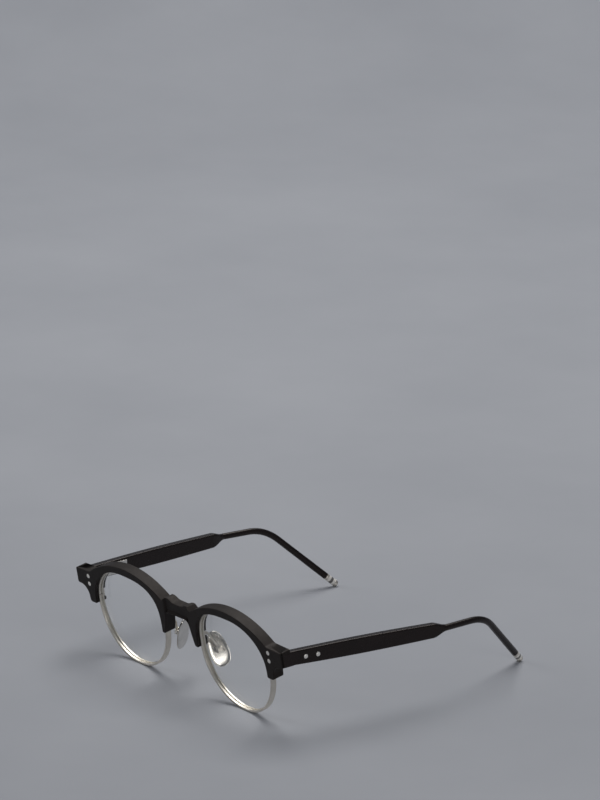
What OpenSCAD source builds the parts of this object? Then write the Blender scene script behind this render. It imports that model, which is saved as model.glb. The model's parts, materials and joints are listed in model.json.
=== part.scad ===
// Half rim (browline) eyeglasses, standing open on the lower rims and the two temple tips.
// +Z is up, the front faces -Y, the temples reach back along +Y, and the wearer's left is +X.
// Pieces of the front are drawn upright, with y = 0 on the front face and z = 0 at the lowest
// point of the rims, and are then leaned forward together by lean().

/* [Front] */
// Forward lean of the front when the glasses stand on a table, in degrees
front_tilt = 10.5; // [8:0.5:12]
// Thickness of the brow front, from front to back
brow_depth = 5.4; // [5.2:0.1:5.8]
// Half width of the front, to the outside of an end piece
front_half = 71.4; // [71:0.1:73]
// Height of the brow arches above the lowest point of the rims
brow_top = 46.5; // [46:0.1:48]
// Height of the middle of the bridge's upper edge
bridge_top = 39.2; // [38.6:0.1:39.8]
// Rise of the two shoulders of the bridge above its middle
bridge_shoulder = 1.3; // [0.8:0.1:1.6]
// Depth of the hollow cut into the bridge's front face
bridge_recess = 0.9; // [0.4:0.1:1.4]

/* [Eye shape] */
// Distance of each eye's middle from the middle of the bridge
eye_x = 37; // [36.6:0.1:37.2]
// Reach of the rim from the eye's middle towards the nose
eye_nasal = 25; // [24.6:0.1:25.2]
// Reach of the rim from the eye's middle towards the temple
eye_temporal = 23.2; // [22.8:0.1:23.4]
// Reach of the rim from the eye's middle upwards
eye_up = 18.4; // [18:0.1:18.6]
// Reach of the rim from the eye's middle downwards
eye_down = 25.2; // [24:0.1:26]

/* [Rim and lens] */
// Width of the rim wire, from front to back
rim_depth = 2.5; // [2.3:0.1:2.7]
// Thickness of the rim wire, from outside to inside
rim_thick = 1; // [0.9:0.05:1.1]
// Distance of the rim wire behind the front face of the brow
rim_front = 1.7; // [1.5:0.1:1.9]
// Radius of the lens's front surface
lens_radius = 180; // [160:10:260]
// Thickness of the lens
lens_thick = 1.8; // [1.7:0.05:1.9]

/* [Temples] */
// Outward splay of a temple, in degrees
splay = 5.3; // [4.5:0.1:6]
// Downward slope of a temple, in degrees
slope = 1.6; // [1.2:0.1:2]
// Thickness of the flat part of a temple
temple_thick = 3.6; // [3.4:0.1:3.8]
// Height of the flat part of a temple at its ends
temple_height = 6.3; // [6.1:0.1:6.6]
// Extra height of the flat part at its middle
temple_belly = 0.9; // [0:0.1:1.2]
// Extra depth of the temple's lower edge at its front end
temple_heel = 1; // [0:0.05:1.2]
// Length of the flat part of a temple
flat_len = 71; // [70:0.5:74]
// Radius of the round rod where the flat part ends
neck_r = 1.4; // [1.2:0.05:1.45]
// Radius of the round rod at the tip
tip_r = 1.5; // [1.45:0.05:1.6]

/* [Nose pads] */
// Length of a nose pad
pad_len = 16; // [14:0.5:17]
// Width of a nose pad
pad_wide = 8.6; // [7.6:0.2:9]
// Thickness of a nose pad
pad_thick = 1.1; // [1:0.1:1.2]
// Angle between a pad's width and straight back, in degrees
pad_splay = 19; // [15:1:22]
// Angle between a pad's length and upright, in degrees
pad_slant = 19; // [16:1:22]

/* [Hinges] */
// Outer radius of a hinge knuckle
knuckle_r = 1.3; // [1.2:0.05:1.35]
// Radius of a hinge screw's shank
hinge_screw_r = 0.7; // [0.6:0.05:0.75]
// Radial clearance of the temple's knuckle on the screw
hinge_clear = 0.05; // [0.02:0.01:0.08]

/* [Hidden] */
$fn = 48;
eps = 0.01;

// Eye outline: height of the middle, roundness of each quarter and number of points
eye_z = eye_down;
round_low = 2.1;
round_nasal = 2.9;
round_temporal = 2.1;
eye_steps = 96;
// How far the brow's front and back lips reach over the rim wire
front_lip = 0.5;
back_lip = 0.4;

// Brow outline: the arch's radius and middle, where it meets the bridge and the end piece
arch_r = 46;
arch_x = 34.8;
arch_z = brow_top - arch_r;
arch_in = 9.7;
arch_out = 60.8;
end_top = 37.5;
end_bottom = 30.3;
lobe_bottom = 23;
bridge_bottom = 34.1;

// Hinge axis, upright in the standing pose, and the heights of the three knuckles
hinge_x = 66.2;
hinge_y = 1.25;
hinge_low = 30.2;
knuckle_h = 1.6;
knuckle_gap = 0.1;
hinge_high = hinge_low + 3 * knuckle_h + 2 * knuckle_gap;
leaf = 0.8;
// Hinge plates: lower inner corner and size on the end piece; start and size on the temple
front_leaf_at = [60.7, 30.4];
front_leaf_size = [5.2, 6.1];
temple_leaf_from = 3;
temple_leaf_size = [15.6, 5.2];
// Rivets on an end piece, then along a temple from its front end
rivet_x = 62.8;
rivet_z = [31.8, 35.5];
rivet_y = [6.5, 12.6];
rivet_head_r = 1;
rivet_shank_r = 0.7;
rivet_head = 0.5;
rivet_proud = 0.12;

// Closing block of the rim, in a pocket behind the brow's outer lobe
lock_x = 60;
lock_z = 26.8;
lock_wide = 2.7;
lock_tall = 4.2;
lock_slit = 0.2;
lock_screw_r = 0.55;

// Middle of the temple's outer face where its splay starts
temple_start = [front_half, 0, 33.1];
// The mitred joint between an end piece and its temple, which starts just behind the front corner
mitre_gap = 0.15;
mitre_lip = 0.5;
mitre_start = [front_half, mitre_lip];
mitre_run = [-temple_thick, brow_depth - mitre_lip];
mitre_low = 20;
mitre_tall = 25;
// The temple's straight part in front of the splay
temple_reach = 8.5;
// Rod: neck, virtual corner of the bend, and end of the tip
neck = [77.2, 78.3, 31.2];
corner = [75.7, 100.6, 30.6];
tip_xy = [63.1, 132.2];
bend_run = 8.8;
cap_edge = 0.6;
core_r = 0.6;
// Lengths of the parts stacked on the end of the rod, and of the rod's straight round end
collar_len = 1.2;
ring_len = 1.3;
ring_count = 3;
cap_len = 1.7;
end_len = 14;
stack_len = collar_len + ring_count * ring_len + cap_len;

// Nose pad: the middle of the pad, and its pivot behind the pad's plate
pad_at = [12.2, 10.2, 18.2];
pivot_x = 2.3;
pad_screw_r = 0.4;
pad_clear = 0.05;
lug_thick = 1;
box_wall = 0.5;
box_gap = 0.15;

function unit(v) = v / norm(v);

// Direction of the rod's end. The rounded cap is as low as the rims, so the end's height follows.
end_slope = 0.655;
tip_rise = cap_edge + (tip_r - cap_edge) * sqrt(1 - end_slope * end_slope) - end_slope * cap_edge;
tip_end = [tip_xy[0], tip_xy[1], tip_rise];
end_dir = unit(tip_end - corner);
rod_end = tip_end - stack_len * end_dir;

// The origin lies midway between the brow's top edge and the rearmost point of the tips
rear_y = tip_end[1] - cap_edge * end_dir[1] + cap_edge
         + (tip_r - cap_edge) * sqrt(1 - end_dir[1] * end_dir[1]);
front_y = -brow_top * sin(front_tilt);
mid_y = (rear_y + front_y) / 2;

// ---------- outlines ----------

function arc(x, z, r, from, to, steps) =
    [for (i = [0:steps]) let (a = from + (to - from) * i / steps) [x + r * cos(a), z + r * sin(a)]];

// A point of the eye outline at angle a, moved inwards by inset
function eye_point(a, inset) =
    let (c = cos(a),
         s = sin(a),
         w = (c < 0 ? eye_nasal : eye_temporal) - inset,
         h = (s < 0 ? eye_down : eye_up) - inset,
         n = s < 0 ? round_low : (c < 0 ? round_nasal : round_temporal))
    [eye_x + sign(c) * w * pow(abs(c), 2 / n), eye_z + sign(s) * h * pow(abs(s), 2 / n)];

module eye(inset) {
    polygon([for (i = [0:eye_steps - 1]) eye_point(i * 360 / eye_steps, inset)]);
}

// A slab of the outline under it, between two depths
module slab(from, to) {
    translate([0, to, 0]) rotate([90, 0, 0]) linear_extrude(to - from) children();
}

// Right-hand half of the brow, with the eyes not yet cut out
function brow_half() = concat(
    [[0, bridge_top], [2.4, bridge_top]],
    [for (i = [1:6]) [2.4 + 4.4 * i / 6, bridge_top + bridge_shoulder * (1 - cos(30 * i)) / 2]],
    [[7.9, bridge_top + bridge_shoulder]],
    arc(arch_x, arch_z, arch_r, 90 + asin((arch_x - arch_in) / arch_r),
        90 - asin((arch_out - arch_x) / arch_r), 36),
    arc(62.6, 40.85, 3, 236, 270, 5),
    arc(front_half - 0.6, end_top - 0.5, 0.6, 85, 0, 4),
    arc(front_half - 0.9, end_bottom + 0.9, 0.9, 0, -90, 4),
    arc(69.4, end_bottom - 5.1, 5.1, 90, 176, 10),
    arc(62.9, lobe_bottom + 1.3, 1.3, 0, -90, 5),
    arc(11.3, lobe_bottom + 1.2, 1.2, -90, -170, 5),
    [[9.6, 25.6], [8.9, 28.4], [8.3, 31]],
    arc(5.8, bridge_bottom - 2.2, 2.2, 10, 90, 6),
    [[0, bridge_bottom]]);

function flip(points) = [for (i = [len(points) - 1:-1:0]) [-points[i][0], points[i][1]]];

// ---------- placing ----------

module both_sides(side) {
    if (side > 0) children();
    else mirror([1, 0, 0]) children();
}

// From the upright drawing of the front to its place on the table
module lean() {
    translate([0, -mid_y, -rim_front * sin(front_tilt)]) rotate([front_tilt, 0, 0]) children();
}

// From the hinge's own place, with its axis on z, to its place on the table
module at_hinge() {
    translate([hinge_x, hinge_y - mid_y, 0]) children();
}

// From the temple's own drawing (outer face at x = 0, length along y) to its place
module at_temple() {
    translate([temple_start[0], temple_start[1] - mid_y, temple_start[2]])
        rotate([-slope, 0, -splay]) children();
}

// From the pad's own drawing (nose side towards -x, length along z) to the upright front
module at_pad() {
    translate(pad_at) rotate([0, -pad_slant, 0]) rotate([0, 0, -pad_splay]) children();
}

// From a drawing along +z to the end of the rod
module at_tip(back) {
    bearing = atan2(end_dir[1], end_dir[0]);
    translate(tip_end - back * end_dir + [0, -mid_y, 0])
        rotate([0, 0, bearing]) rotate([0, acos(end_dir[2]), 0]) children();
}

// ---------- brow front ----------

module rivet_holes() {
    for (z = rivet_z) translate([rivet_x, 0, z]) rotate([-90, 0, 0]) {
        translate([0, 0, -1]) cylinder(r = rivet_head_r, h = 1 + rivet_head);
        cylinder(r = rivet_shank_r, h = brow_depth + 1);
    }
}

module eye_cuts() {
    slab(-1, rim_front + eps) eye(front_lip);
    slab(rim_front, rim_front + rim_depth) eye(0);
    slab(rim_front + rim_depth - eps, brow_depth + 1) eye(back_lip);
}

module lock_pocket() {
    translate([lock_x - 2, brow_depth - 2.4, lock_z - lock_tall / 2 - 0.1])
        cube([lock_wide + 2.1, 4, lock_tall + 0.2]);
}

// Notch in the back lip of the inner lobe, where the nose pad's wire leaves the rim
module pad_arm_notch() {
    translate([arm_root[0] - 1.2, rim_front + rim_depth, arm_root[2] - 1.8]) cube([2, 3, 2.6]);
}

module brow_front() color("#26221f") lean() difference() {
    slab(0, brow_depth) polygon(concat(brow_half(), flip(brow_half())));
    for (side = [-1, 1]) both_sides(side) {
        eye_cuts();
        rivet_holes();
        lock_pocket();
        pad_arm_notch();
        mitre(0, brow_depth + 10);
    }
    bridge_hollow();
}

// Upright block between the mitre line, moved towards the temple by shift, and a line across at depth y
module mitre(shift, y) {
    line = [for (t = [-2, 3])
        mitre_start + t * mitre_run + shift * unit([mitre_run[1], -mitre_run[0]])];
    translate([0, 0, mitre_low]) linear_extrude(mitre_tall)
        polygon(concat(line, [[line[1][0], y], [line[0][0], y]]));
}

// The shallow hollow across the bridge's front face, with sloping ends
module bridge_hollow() {
    ends = [[-8.7, -1], [-7.4, bridge_recess], [7.4, bridge_recess], [8.7, -1]];
    translate([0, 0, lobe_bottom + 8]) linear_extrude(20) polygon(ends);
}

// ---------- rims and lenses ----------

groove_depth = 0.5;
groove_wide = 0.9;
groove_from = rim_front + 0.75;

module rim(side) color("#cfccc4") lean() both_sides(side) difference() {
    slab(rim_front, rim_front + rim_depth) eye(0);
    slab(rim_front - 1, rim_front + rim_depth + 1) eye(rim_thick);
    slab(groove_from, groove_from + groove_wide) eye(rim_thick - groove_depth);
    translate([lock_x - 3, 0, lock_z - lock_slit / 2]) cube([4, brow_depth, lock_slit]);
}

lens_vertex = rim_front - 0.75;

module lens(side) color("#dfe8ea", 0.35) lean() both_sides(side) {
    slab(groove_from + 0.05, groove_from + groove_wide - 0.05) eye(rim_thick - groove_depth);
    intersection() {
        slab(0, brow_depth + 1) eye(rim_thick + 0.05);
        translate([eye_x, lens_vertex + lens_radius, eye_z]) rotate([90, 0, 0]) lens_shell();
    }
}

// The part of a thick sphere round its pole on the z axis
module lens_shell() {
    rotate_extrude($fn = 180) intersection() {
        difference() {
            circle(r = lens_radius, $fn = 720);
            circle(r = lens_radius - lens_thick, $fn = 720);
        }
        translate([0, lens_radius / 2]) square([eye_nasal + 3, lens_radius]);
    }
}

module rim_lock(side) color("#b9b6ae") lean() both_sides(side) difference() {
    translate([lock_x, brow_depth - 2.3, lock_z - lock_tall / 2]) cube([lock_wide, 2.2, lock_tall]);
    slab(0, brow_depth) eye(0);
    translate([lock_x - 1, 0, lock_z - lock_slit / 2]) cube([lock_wide + 2, brow_depth, lock_slit]);
    translate([lock_x + 1.7, brow_depth - 1.2, lock_z - lock_tall])
        cylinder(r = lock_screw_r, h = 2 * lock_tall);
}

module rim_lock_screw(side) color("#a8a59d") lean() both_sides(side)
    translate([lock_x + 1.7, brow_depth - 1.2, lock_z - lock_tall / 2])
        cylinder(r = lock_screw_r, h = lock_tall);

// ---------- nose pads ----------

pad_steps = 40;

module pad_oval() {
    polygon([for (i = [0:pad_steps - 1])
        let (a = i * 360 / pad_steps, c = cos(a), s = sin(a))
        [pad_wide / 2 * sign(c) * pow(abs(c), 0.9), pad_len / 2 * sign(s) * pow(abs(s), 0.9)]]);
}

// A plate whose outline is drawn in the y and z directions, between two values of x
module plate(from, to) {
    translate([from, 0, 0]) rotate([90, 0, 90]) linear_extrude(to - from) children();
}

module nose_pad(side) color("#c9c6bf") lean() both_sides(side) at_pad() difference() {
    union() {
        plate(-pad_thick / 2, pad_thick / 2) pad_oval();
        translate([0, -lug_thick / 2, -0.7]) cube([pivot_x, lug_thick, 1.4]);
        translate([pivot_x, lug_thick / 2, 0]) rotate([90, 0, 0]) cylinder(r = 0.75, h = lug_thick);
    }
    translate([pivot_x, 3, 0]) rotate([90, 0, 0]) cylinder(r = pad_screw_r + pad_clear, h = 6);
}

box_half = lug_thick / 2 + box_gap + box_wall;
screw_head = 0.35;

module pad_screw(side) color("#b0ada5") lean() both_sides(side) at_pad()
    translate([pivot_x, 0, 0]) rotate([90, 0, 0]) {
        translate([0, 0, -box_half]) cylinder(r = pad_screw_r, h = 2 * box_half);
        translate([0, 0, box_half]) cylinder(r = 0.7, h = screw_head);
    }

// Round cup that holds the pad's lug, and the wire that carries it from the back of the rim
module pad_cup() {
    difference() {
        translate([1, 0, 0]) rotate([0, 90, 0]) cylinder(r = 1.6, h = 2.8);
        translate([0, -box_half + box_wall, -3]) cube([pivot_x + 0.95, 2 * (box_half - box_wall), 6]);
        translate([pivot_x, 3, 0]) rotate([90, 0, 0]) cylinder(r = pad_screw_r, h = 6);
        for (y = [-4 - box_half, box_half]) translate([0, y, -3]) cube([5, 4, 6]);
    }
}

arm_r = 0.55;
arm_steps = 16;
arm_sides = 8;
cup_back = [3.6, 0, 0.6];

// The cup's back in the upright front, worked out as at_pad() places it
function pad_to_front(p) =
    let (x = p[0] * cos(pad_splay) + p[1] * sin(pad_splay),
         y = p[1] * cos(pad_splay) - p[0] * sin(pad_splay))
    pad_at + [x * cos(pad_slant) - p[2] * sin(pad_slant), y, x * sin(pad_slant) + p[2] * cos(pad_slant)];

arm_root = [12.3, rim_front + rim_depth - 0.5, 28.6];
arm_route = [arm_root, arm_root + [-0.6, 3.8, -0.6], [12.4, 7.6, 22.6], pad_to_front(cup_back)];

function bezier(p, t) = pow(1 - t, 3) * p[0] + 3 * t * pow(1 - t, 2) * p[1]
    + 3 * t * t * (1 - t) * p[2] + pow(t, 3) * p[3];

module pad_arm(side) color("#c4c1b9") lean() both_sides(side) difference() {
    union() {
        at_pad() pad_cup();
        tube([for (i = [0:arm_steps]) bezier(arm_route, i / arm_steps)], arm_r, arm_sides);
    }
    slab(0, rim_front + rim_depth) difference() {
        eye(-2);
        eye(rim_thick);
    }
}

// ---------- swept shapes ----------

function tangent(path, i) =
    unit(path[min(i + 1, len(path) - 1)] - path[max(i - 1, 0)]);

// Faces that join rings of n points into one closed skin
function skin_faces(rings, n) = concat(
    [[for (k = [n - 1:-1:0]) k]],
    [for (i = [0:rings - 2], k = [0:n - 1]) let (a = i * n + k, b = i * n + (k + 1) % n) [a, b, b + n]],
    [for (i = [0:rings - 2], k = [0:n - 1]) let (a = i * n + k, b = i * n + (k + 1) % n) [a, b + n, a + n]],
    [[for (k = [0:n - 1]) (rings - 1) * n + k]]);

// A round tube along a path
module tube(path, r, sides) {
    rings = [for (i = [0:len(path) - 1])
        let (t = tangent(path, i), u = unit(cross(t, [0, 0, 1])), v = cross(u, t))
        for (k = [0:sides - 1]) path[i] + r * (cos(k * 360 / sides) * u + sin(k * 360 / sides) * v)];
    polyhedron(rings, skin_faces(len(path), sides), convexity = 6);
}

// ---------- hinges ----------

module knuckle(from, hole) {
    translate([0, 0, from]) difference() {
        cylinder(r = knuckle_r, h = knuckle_h);
        translate([0, 0, -1]) cylinder(r = hole, h = knuckle_h + 2);
    }
}

front_knuckles = [hinge_low, hinge_low + 2 * (knuckle_h + knuckle_gap)];
temple_knuckle = hinge_low + knuckle_h + knuckle_gap;

// Plate on the back of the end piece, in the upright front
module front_leaf() {
    difference() {
        translate([front_leaf_at[0], brow_depth, front_leaf_at[1]])
            cube([front_leaf_size[0], leaf, front_leaf_size[1]]);
        rivet_holes();
        for (z = rivet_z) translate([rivet_x, 0, z]) rotate([-90, 0, 0]) cylinder(r = rivet_shank_r, h = 9);
    }
}

module front_hinge(side) color("#bdbab2") both_sides(side) {
    difference() {
        union() {
            lean() front_leaf();
            difference() {
                at_hinge() for (z = front_knuckles)
                    translate([-knuckle_r, -3, z]) cube([knuckle_r, 3, knuckle_h]);
                lean() slab(-5, brow_depth) translate([50, 20]) square([30, 30]);
            }
            at_hinge() for (z = front_knuckles) knuckle(z, hinge_screw_r);
        }
        // Room for the temple's knuckle to turn in
        at_hinge() translate([0, 0, temple_knuckle - knuckle_gap / 2])
            cylinder(r = knuckle_r + knuckle_gap, h = knuckle_h + knuckle_gap);
        at_hinge() translate([0, 0, hinge_low - 1]) cylinder(r = hinge_screw_r, h = 9);
    }
}

module hinge_screw(side) color("#a19e97") both_sides(side) at_hinge() {
    translate([0, 0, hinge_low]) cylinder(r = hinge_screw_r, h = hinge_high - hinge_low);
    translate([0, 0, hinge_high]) difference() {
        cylinder(r = 1.05, h = 0.45);
        translate([-2, -0.12, 0.2]) cube([4, 0.24, 1]);
    }
}

// Plate on the inner face of the temple, with the middle knuckle
module temple_hinge(side) color("#bdbab2") both_sides(side) difference() {
    union() {
        at_temple() difference() {
            translate([-temple_thick - leaf, temple_leaf_from, -temple_leaf_size[1] / 2])
                cube([leaf, temple_leaf_size[0], temple_leaf_size[1]]);
            temple_rivet_holes();
        }
        at_hinge() translate([0, 0, temple_knuckle]) cube([1.5, 2.6, knuckle_h]);
        at_hinge() knuckle(temple_knuckle, hinge_screw_r + hinge_clear);
    }
    at_hinge() translate([0, 0, hinge_low]) cylinder(r = hinge_screw_r + hinge_clear, h = 6);
}

module temple_rivet_holes() {
    for (y = rivet_y) translate([0, y, 0]) rotate([0, -90, 0]) {
        translate([0, 0, -1]) cylinder(r = rivet_head_r, h = 1 + rivet_head);
        cylinder(r = rivet_shank_r, h = temple_thick + leaf + 1);
    }
}

// A rivet along +z, whose head starts proud of the surface at z = 0
module rivet(length) {
    translate([0, 0, -rivet_proud]) cylinder(r = rivet_head_r, h = rivet_proud + rivet_head);
    cylinder(r = rivet_shank_r, h = length);
}

module front_rivets(side) color("#dedbd3") lean() both_sides(side)
    for (z = rivet_z) translate([rivet_x, 0, z]) rotate([-90, 0, 0]) rivet(brow_depth + leaf);

module temple_rivets(side) color("#dedbd3") both_sides(side) at_temple()
    for (y = rivet_y) translate([0, y, 0]) rotate([0, -90, 0]) rivet(temple_thick + leaf);

// ---------- temples ----------

section_points = 16;
flat_steps = 12;
taper_steps = 8;
bend_steps = 10;
flat_round = 0.8;

// A point of the temple's own drawing, in its place on the table (before the origin shift)
function temple_point(x, y, z) =
    let (y2 = y * cos(slope) + z * sin(slope),
         z2 = z * cos(slope) - y * sin(slope))
    temple_start + [x * cos(splay) + y2 * sin(splay), y2 * cos(splay) - x * sin(splay), z2];

// Middle line of the temple: the flat part, the shoulder, the straight rod, the bend, the end
flat_end = temple_point(-temple_thick / 2, flat_len, 0);
bend_in = corner + bend_run * unit(neck - corner);
bend_out = corner + bend_run * end_dir;
taper_end = rod_end - (end_len - 0.4) * end_dir;

function flat_height(u) = temple_height + temple_belly * sin(180 * u);
function ease(u) = (1 - cos(180 * u)) / 2;
function quad(a, b, c, t) = (1 - t) * (1 - t) * a + 2 * t * (1 - t) * b + t * t * c;
function rod_r(y) = neck_r + (tip_r - 0.03 - neck_r) * (y - neck[1]) / (taper_end[1] - neck[1]);

// Stations along the temple, each [middle, thickness, height, corner radius, heel]
front_station = [temple_point(-temple_thick / 2, -temple_reach, 0) + [temple_reach * sin(splay), 0, 0],
                 temple_thick, temple_height, flat_round, temple_heel];
flat_stations = [for (i = [0:flat_steps]) let (u = i / flat_steps)
    [temple_point(-temple_thick / 2, -0.5 + (flat_len + 0.5) * u, 0),
     temple_thick, flat_height(u), flat_round, 0]];
taper_stations = [for (i = [1:taper_steps]) let (u = i / taper_steps, e = ease(u), g = 2 * neck_r)
    [flat_end + (neck - flat_end) * u,
     temple_thick + (g - temple_thick) * e,
     temple_height + (g - temple_height) * e,
     flat_round + (neck_r - flat_round) * e, 0]];
rod_path = concat(
    [for (i = [1:3]) neck + (bend_in - neck) * i / 3],
    [for (i = [1:bend_steps]) quad(bend_in, corner, bend_out, i / bend_steps)],
    [for (i = [1:2]) bend_out + (taper_end - bend_out) * i / 2]);
rod_stations = [for (p = rod_path) let (r = rod_r(p[1])) [p, 2 * r, 2 * r, r, 0]];
stations = concat([front_station], flat_stations, taper_stations, rod_stations);
station_path = [for (s = stations) s[0]];

// Ring of points round one station: a rectangle with round corners, or a circle on the rod
function ring(i) =
    let (s = stations[i],
         t = tangent(station_path, i),
         u = unit(cross(t, [0, 0, 1])),
         v = cross(u, t))
    [for (k = [0:section_points - 1])
        let (a = (k + 0.5) * 360 / section_points,
             x = sign(cos(a)) * (s[1] / 2 - s[3]) + s[3] * cos(a),
             z = sign(sin(a)) * (s[2] / 2 - s[3]) + s[3] * sin(a) - (sin(a) < 0 ? s[4] : 0))
        s[0] + x * u + z * v];

module temple(side) color("#1d1a19") both_sides(side) difference() {
    union() {
        translate([0, -mid_y, 0]) polyhedron(
            [for (i = [0:len(stations) - 1]) each ring(i)],
            skin_faces(len(stations), section_points), convexity = 6);
        at_tip(stack_len + end_len) cylinder(r = tip_r, h = end_len);
    }
    lean() mitre(mitre_gap, -20);
    at_temple() temple_rivet_holes();
}

core_path = concat(
    [for (i = [0:6]) temple_point(-temple_thick / 2, 24 + (flat_len - 24) * i / 6, 0)],
    [neck],
    rod_path);

// Wire pressed into the temple from its front end, which also carries the parts on the tip
module temple_core(side) color("#8f8c86") both_sides(side) {
    translate([0, -mid_y, 0]) tube(core_path, core_r - 0.03, 8);
    at_tip(stack_len + end_len) cylinder(r = core_r, h = stack_len + end_len - cap_len / 2);
}

module tip_collar(side) color("#d8d5cd") both_sides(side) at_tip(stack_len)
    tip_ring(collar_len);

module tip_ring(length) {
    difference() {
        cylinder(r = tip_r, h = length);
        translate([0, 0, -1]) cylinder(r = core_r, h = length + 2);
    }
}

// Light rings at both ends of the band, which is a darker ring
module tip_rings(side) color("#e4dfd2") both_sides(side)
    for (i = [0, 2]) at_tip(stack_len - collar_len - i * ring_len) tip_ring(ring_len);

module tip_band(side) color("#77746e") both_sides(side)
    at_tip(stack_len - collar_len - ring_len) tip_ring(ring_len);

module tip_cap(side) color("#d8d5cd") both_sides(side) at_tip(cap_len) difference() {
    rotate_extrude() union() {
        square([tip_r, cap_len - cap_edge]);
        square([tip_r - cap_edge, cap_len]);
        translate([tip_r - cap_edge, cap_len - cap_edge]) intersection() {
            circle(r = cap_edge);
            square(cap_edge);
        }
    }
    translate([0, 0, -1]) cylinder(r = core_r, h = 1 + cap_len / 2);
}

brow_front();
rim(1);  // rim_left
rim(-1);  // rim_right
lens(1);  // lens_left
lens(-1);  // lens_right
rim_lock(1);  // rim_lock_left
rim_lock(-1);  // rim_lock_right
rim_lock_screw(1);  // rim_lock_screw_left
rim_lock_screw(-1);  // rim_lock_screw_right
pad_arm(1);  // pad_arm_left
pad_arm(-1);  // pad_arm_right
pad_screw(1);  // pad_screw_left
pad_screw(-1);  // pad_screw_right
nose_pad(1);  // nose_pad_left
nose_pad(-1);  // nose_pad_right
front_rivets(1);  // front_rivets_left
front_rivets(-1);  // front_rivets_right
front_hinge(1);  // front_hinge_left
front_hinge(-1);  // front_hinge_right
hinge_screw(1);  // hinge_screw_left
hinge_screw(-1);  // hinge_screw_right
temple_hinge(1);  // temple_hinge_left
temple_hinge(-1);  // temple_hinge_right
temple_rivets(1);  // temple_rivets_left
temple_rivets(-1);  // temple_rivets_right
temple(1);  // temple_left
temple(-1);  // temple_right
temple_core(1);  // temple_core_left
temple_core(-1);  // temple_core_right
tip_collar(1);  // tip_collar_left
tip_collar(-1);  // tip_collar_right
tip_rings(1);  // tip_rings_left
tip_rings(-1);  // tip_rings_right
tip_band(1);  // tip_band_left
tip_band(-1);  // tip_band_right
tip_cap(1);  // tip_cap_left
tip_cap(-1);  // tip_cap_right
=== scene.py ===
"""Browline eyeglasses: smooth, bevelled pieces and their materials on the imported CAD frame."""

import json
import math

import bmesh
import bpy
from mathutils import Matrix, Vector


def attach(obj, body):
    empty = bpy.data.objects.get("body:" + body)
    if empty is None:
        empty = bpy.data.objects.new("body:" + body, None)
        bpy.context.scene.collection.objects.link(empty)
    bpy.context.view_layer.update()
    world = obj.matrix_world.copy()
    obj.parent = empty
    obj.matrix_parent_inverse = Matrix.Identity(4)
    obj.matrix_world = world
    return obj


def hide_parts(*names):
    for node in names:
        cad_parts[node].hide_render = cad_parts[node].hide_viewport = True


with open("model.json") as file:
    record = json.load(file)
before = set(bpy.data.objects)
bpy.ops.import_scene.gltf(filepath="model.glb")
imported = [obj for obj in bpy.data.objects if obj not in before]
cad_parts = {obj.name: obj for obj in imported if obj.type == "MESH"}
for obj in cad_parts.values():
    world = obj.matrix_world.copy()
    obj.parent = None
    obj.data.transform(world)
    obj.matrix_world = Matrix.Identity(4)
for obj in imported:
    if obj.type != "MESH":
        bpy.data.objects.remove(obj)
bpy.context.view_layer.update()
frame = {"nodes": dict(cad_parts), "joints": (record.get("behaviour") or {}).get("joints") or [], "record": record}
MM = 0.001
JOINT = {j["name"]: j for j in frame["joints"]}
MOUNT = {m["name"]: m for m in frame["record"]["mounts"]}

# ---------- sizes in millimetres, as in the CAD model where no comment says otherwise ----------

FRONT_TILT = math.radians(10.5)
BROW_DEPTH = 5.4
FRONT_HALF = 71.4
BROW_TOP = 46.5
BRIDGE_TOP = 39.2
BRIDGE_SHOULDER = 1.3
BRIDGE_RECESS = 0.9
BRIDGE_BOTTOM = 34.1
EYE_X = 37.0
EYE_NASAL = 25.0
EYE_TEMPORAL = 23.2
EYE_UP = 18.4
EYE_DOWN = 25.2
ROUND_LOW = 2.1
ROUND_NASAL = 2.9
ROUND_TEMPORAL = 2.1
RIM_FRONT = 1.7
RIM_DEPTH = 2.5
RIM_BACK = RIM_FRONT + RIM_DEPTH
RIM_THICK = 1.0
GROOVE_DEPTH = 0.5
GROOVE_FROM = RIM_FRONT + 0.75
GROOVE_WIDE = 0.9
FRONT_LIP = 0.5
# The photo shows more of the lip behind the rim than the CAD solid's lip of 0.4 would
BACK_LIP = 0.8
LENS_RADIUS = 180.0
LENS_THICK = 1.8
LENS_VERTEX = RIM_FRONT - 0.75
ARCH_R = 46.0
ARCH_X = 34.8
ARCH_IN = 9.7
ARCH_OUT = 60.8
END_TOP = 37.5
END_BOTTOM = 30.3
LOBE_BOTTOM = 23.0
HINGE_Y = 1.25
HINGE_LOW = 30.2
KNUCKLE_R = 1.3
KNUCKLE_H = 1.6
KNUCKLE_GAP = 0.1
HINGE_SCREW_R = 0.7
LEAF = 0.8
RIVET_X = 62.8
RIVET_Z = (31.8, 35.5)
RIVET_Y = (6.5, 12.6)
RIVET_R = 1.0
RIVET_PROUD = 0.12
SPLAY = math.radians(5.3)
SLOPE = math.radians(1.6)
TEMPLE_THICK = 3.6
TEMPLE_HEIGHT = 6.3
TEMPLE_BELLY = 0.9
TEMPLE_HEEL = 1.0
TEMPLE_REACH = 8.5
SPLAY_FROM = -0.5
FLAT_LEN = 71.0
FLAT_ROUND = 0.8
NECK_R = 1.4
TIP_R = 1.5
MITRE_GAP = 0.15
MITRE_LIP = 0.5
TEMPLE_Z = 33.1
PAD_LEN = 16.0
PAD_WIDE = 8.6
PAD_THICK = 1.1
PAD_SPLAY = math.radians(19)
PAD_SLANT = math.radians(19)
PAD_AT = Vector((12.2, 10.2, 18.2))
PIVOT_X = 2.3
COLLAR_LEN = 1.2
RING_LEN = 1.3
CAP_LEN = 1.7
CAP_EDGE = 0.6
END_LEN = 14.0
STACK_LEN = COLLAR_LEN + 3 * RING_LEN + CAP_LEN

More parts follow.
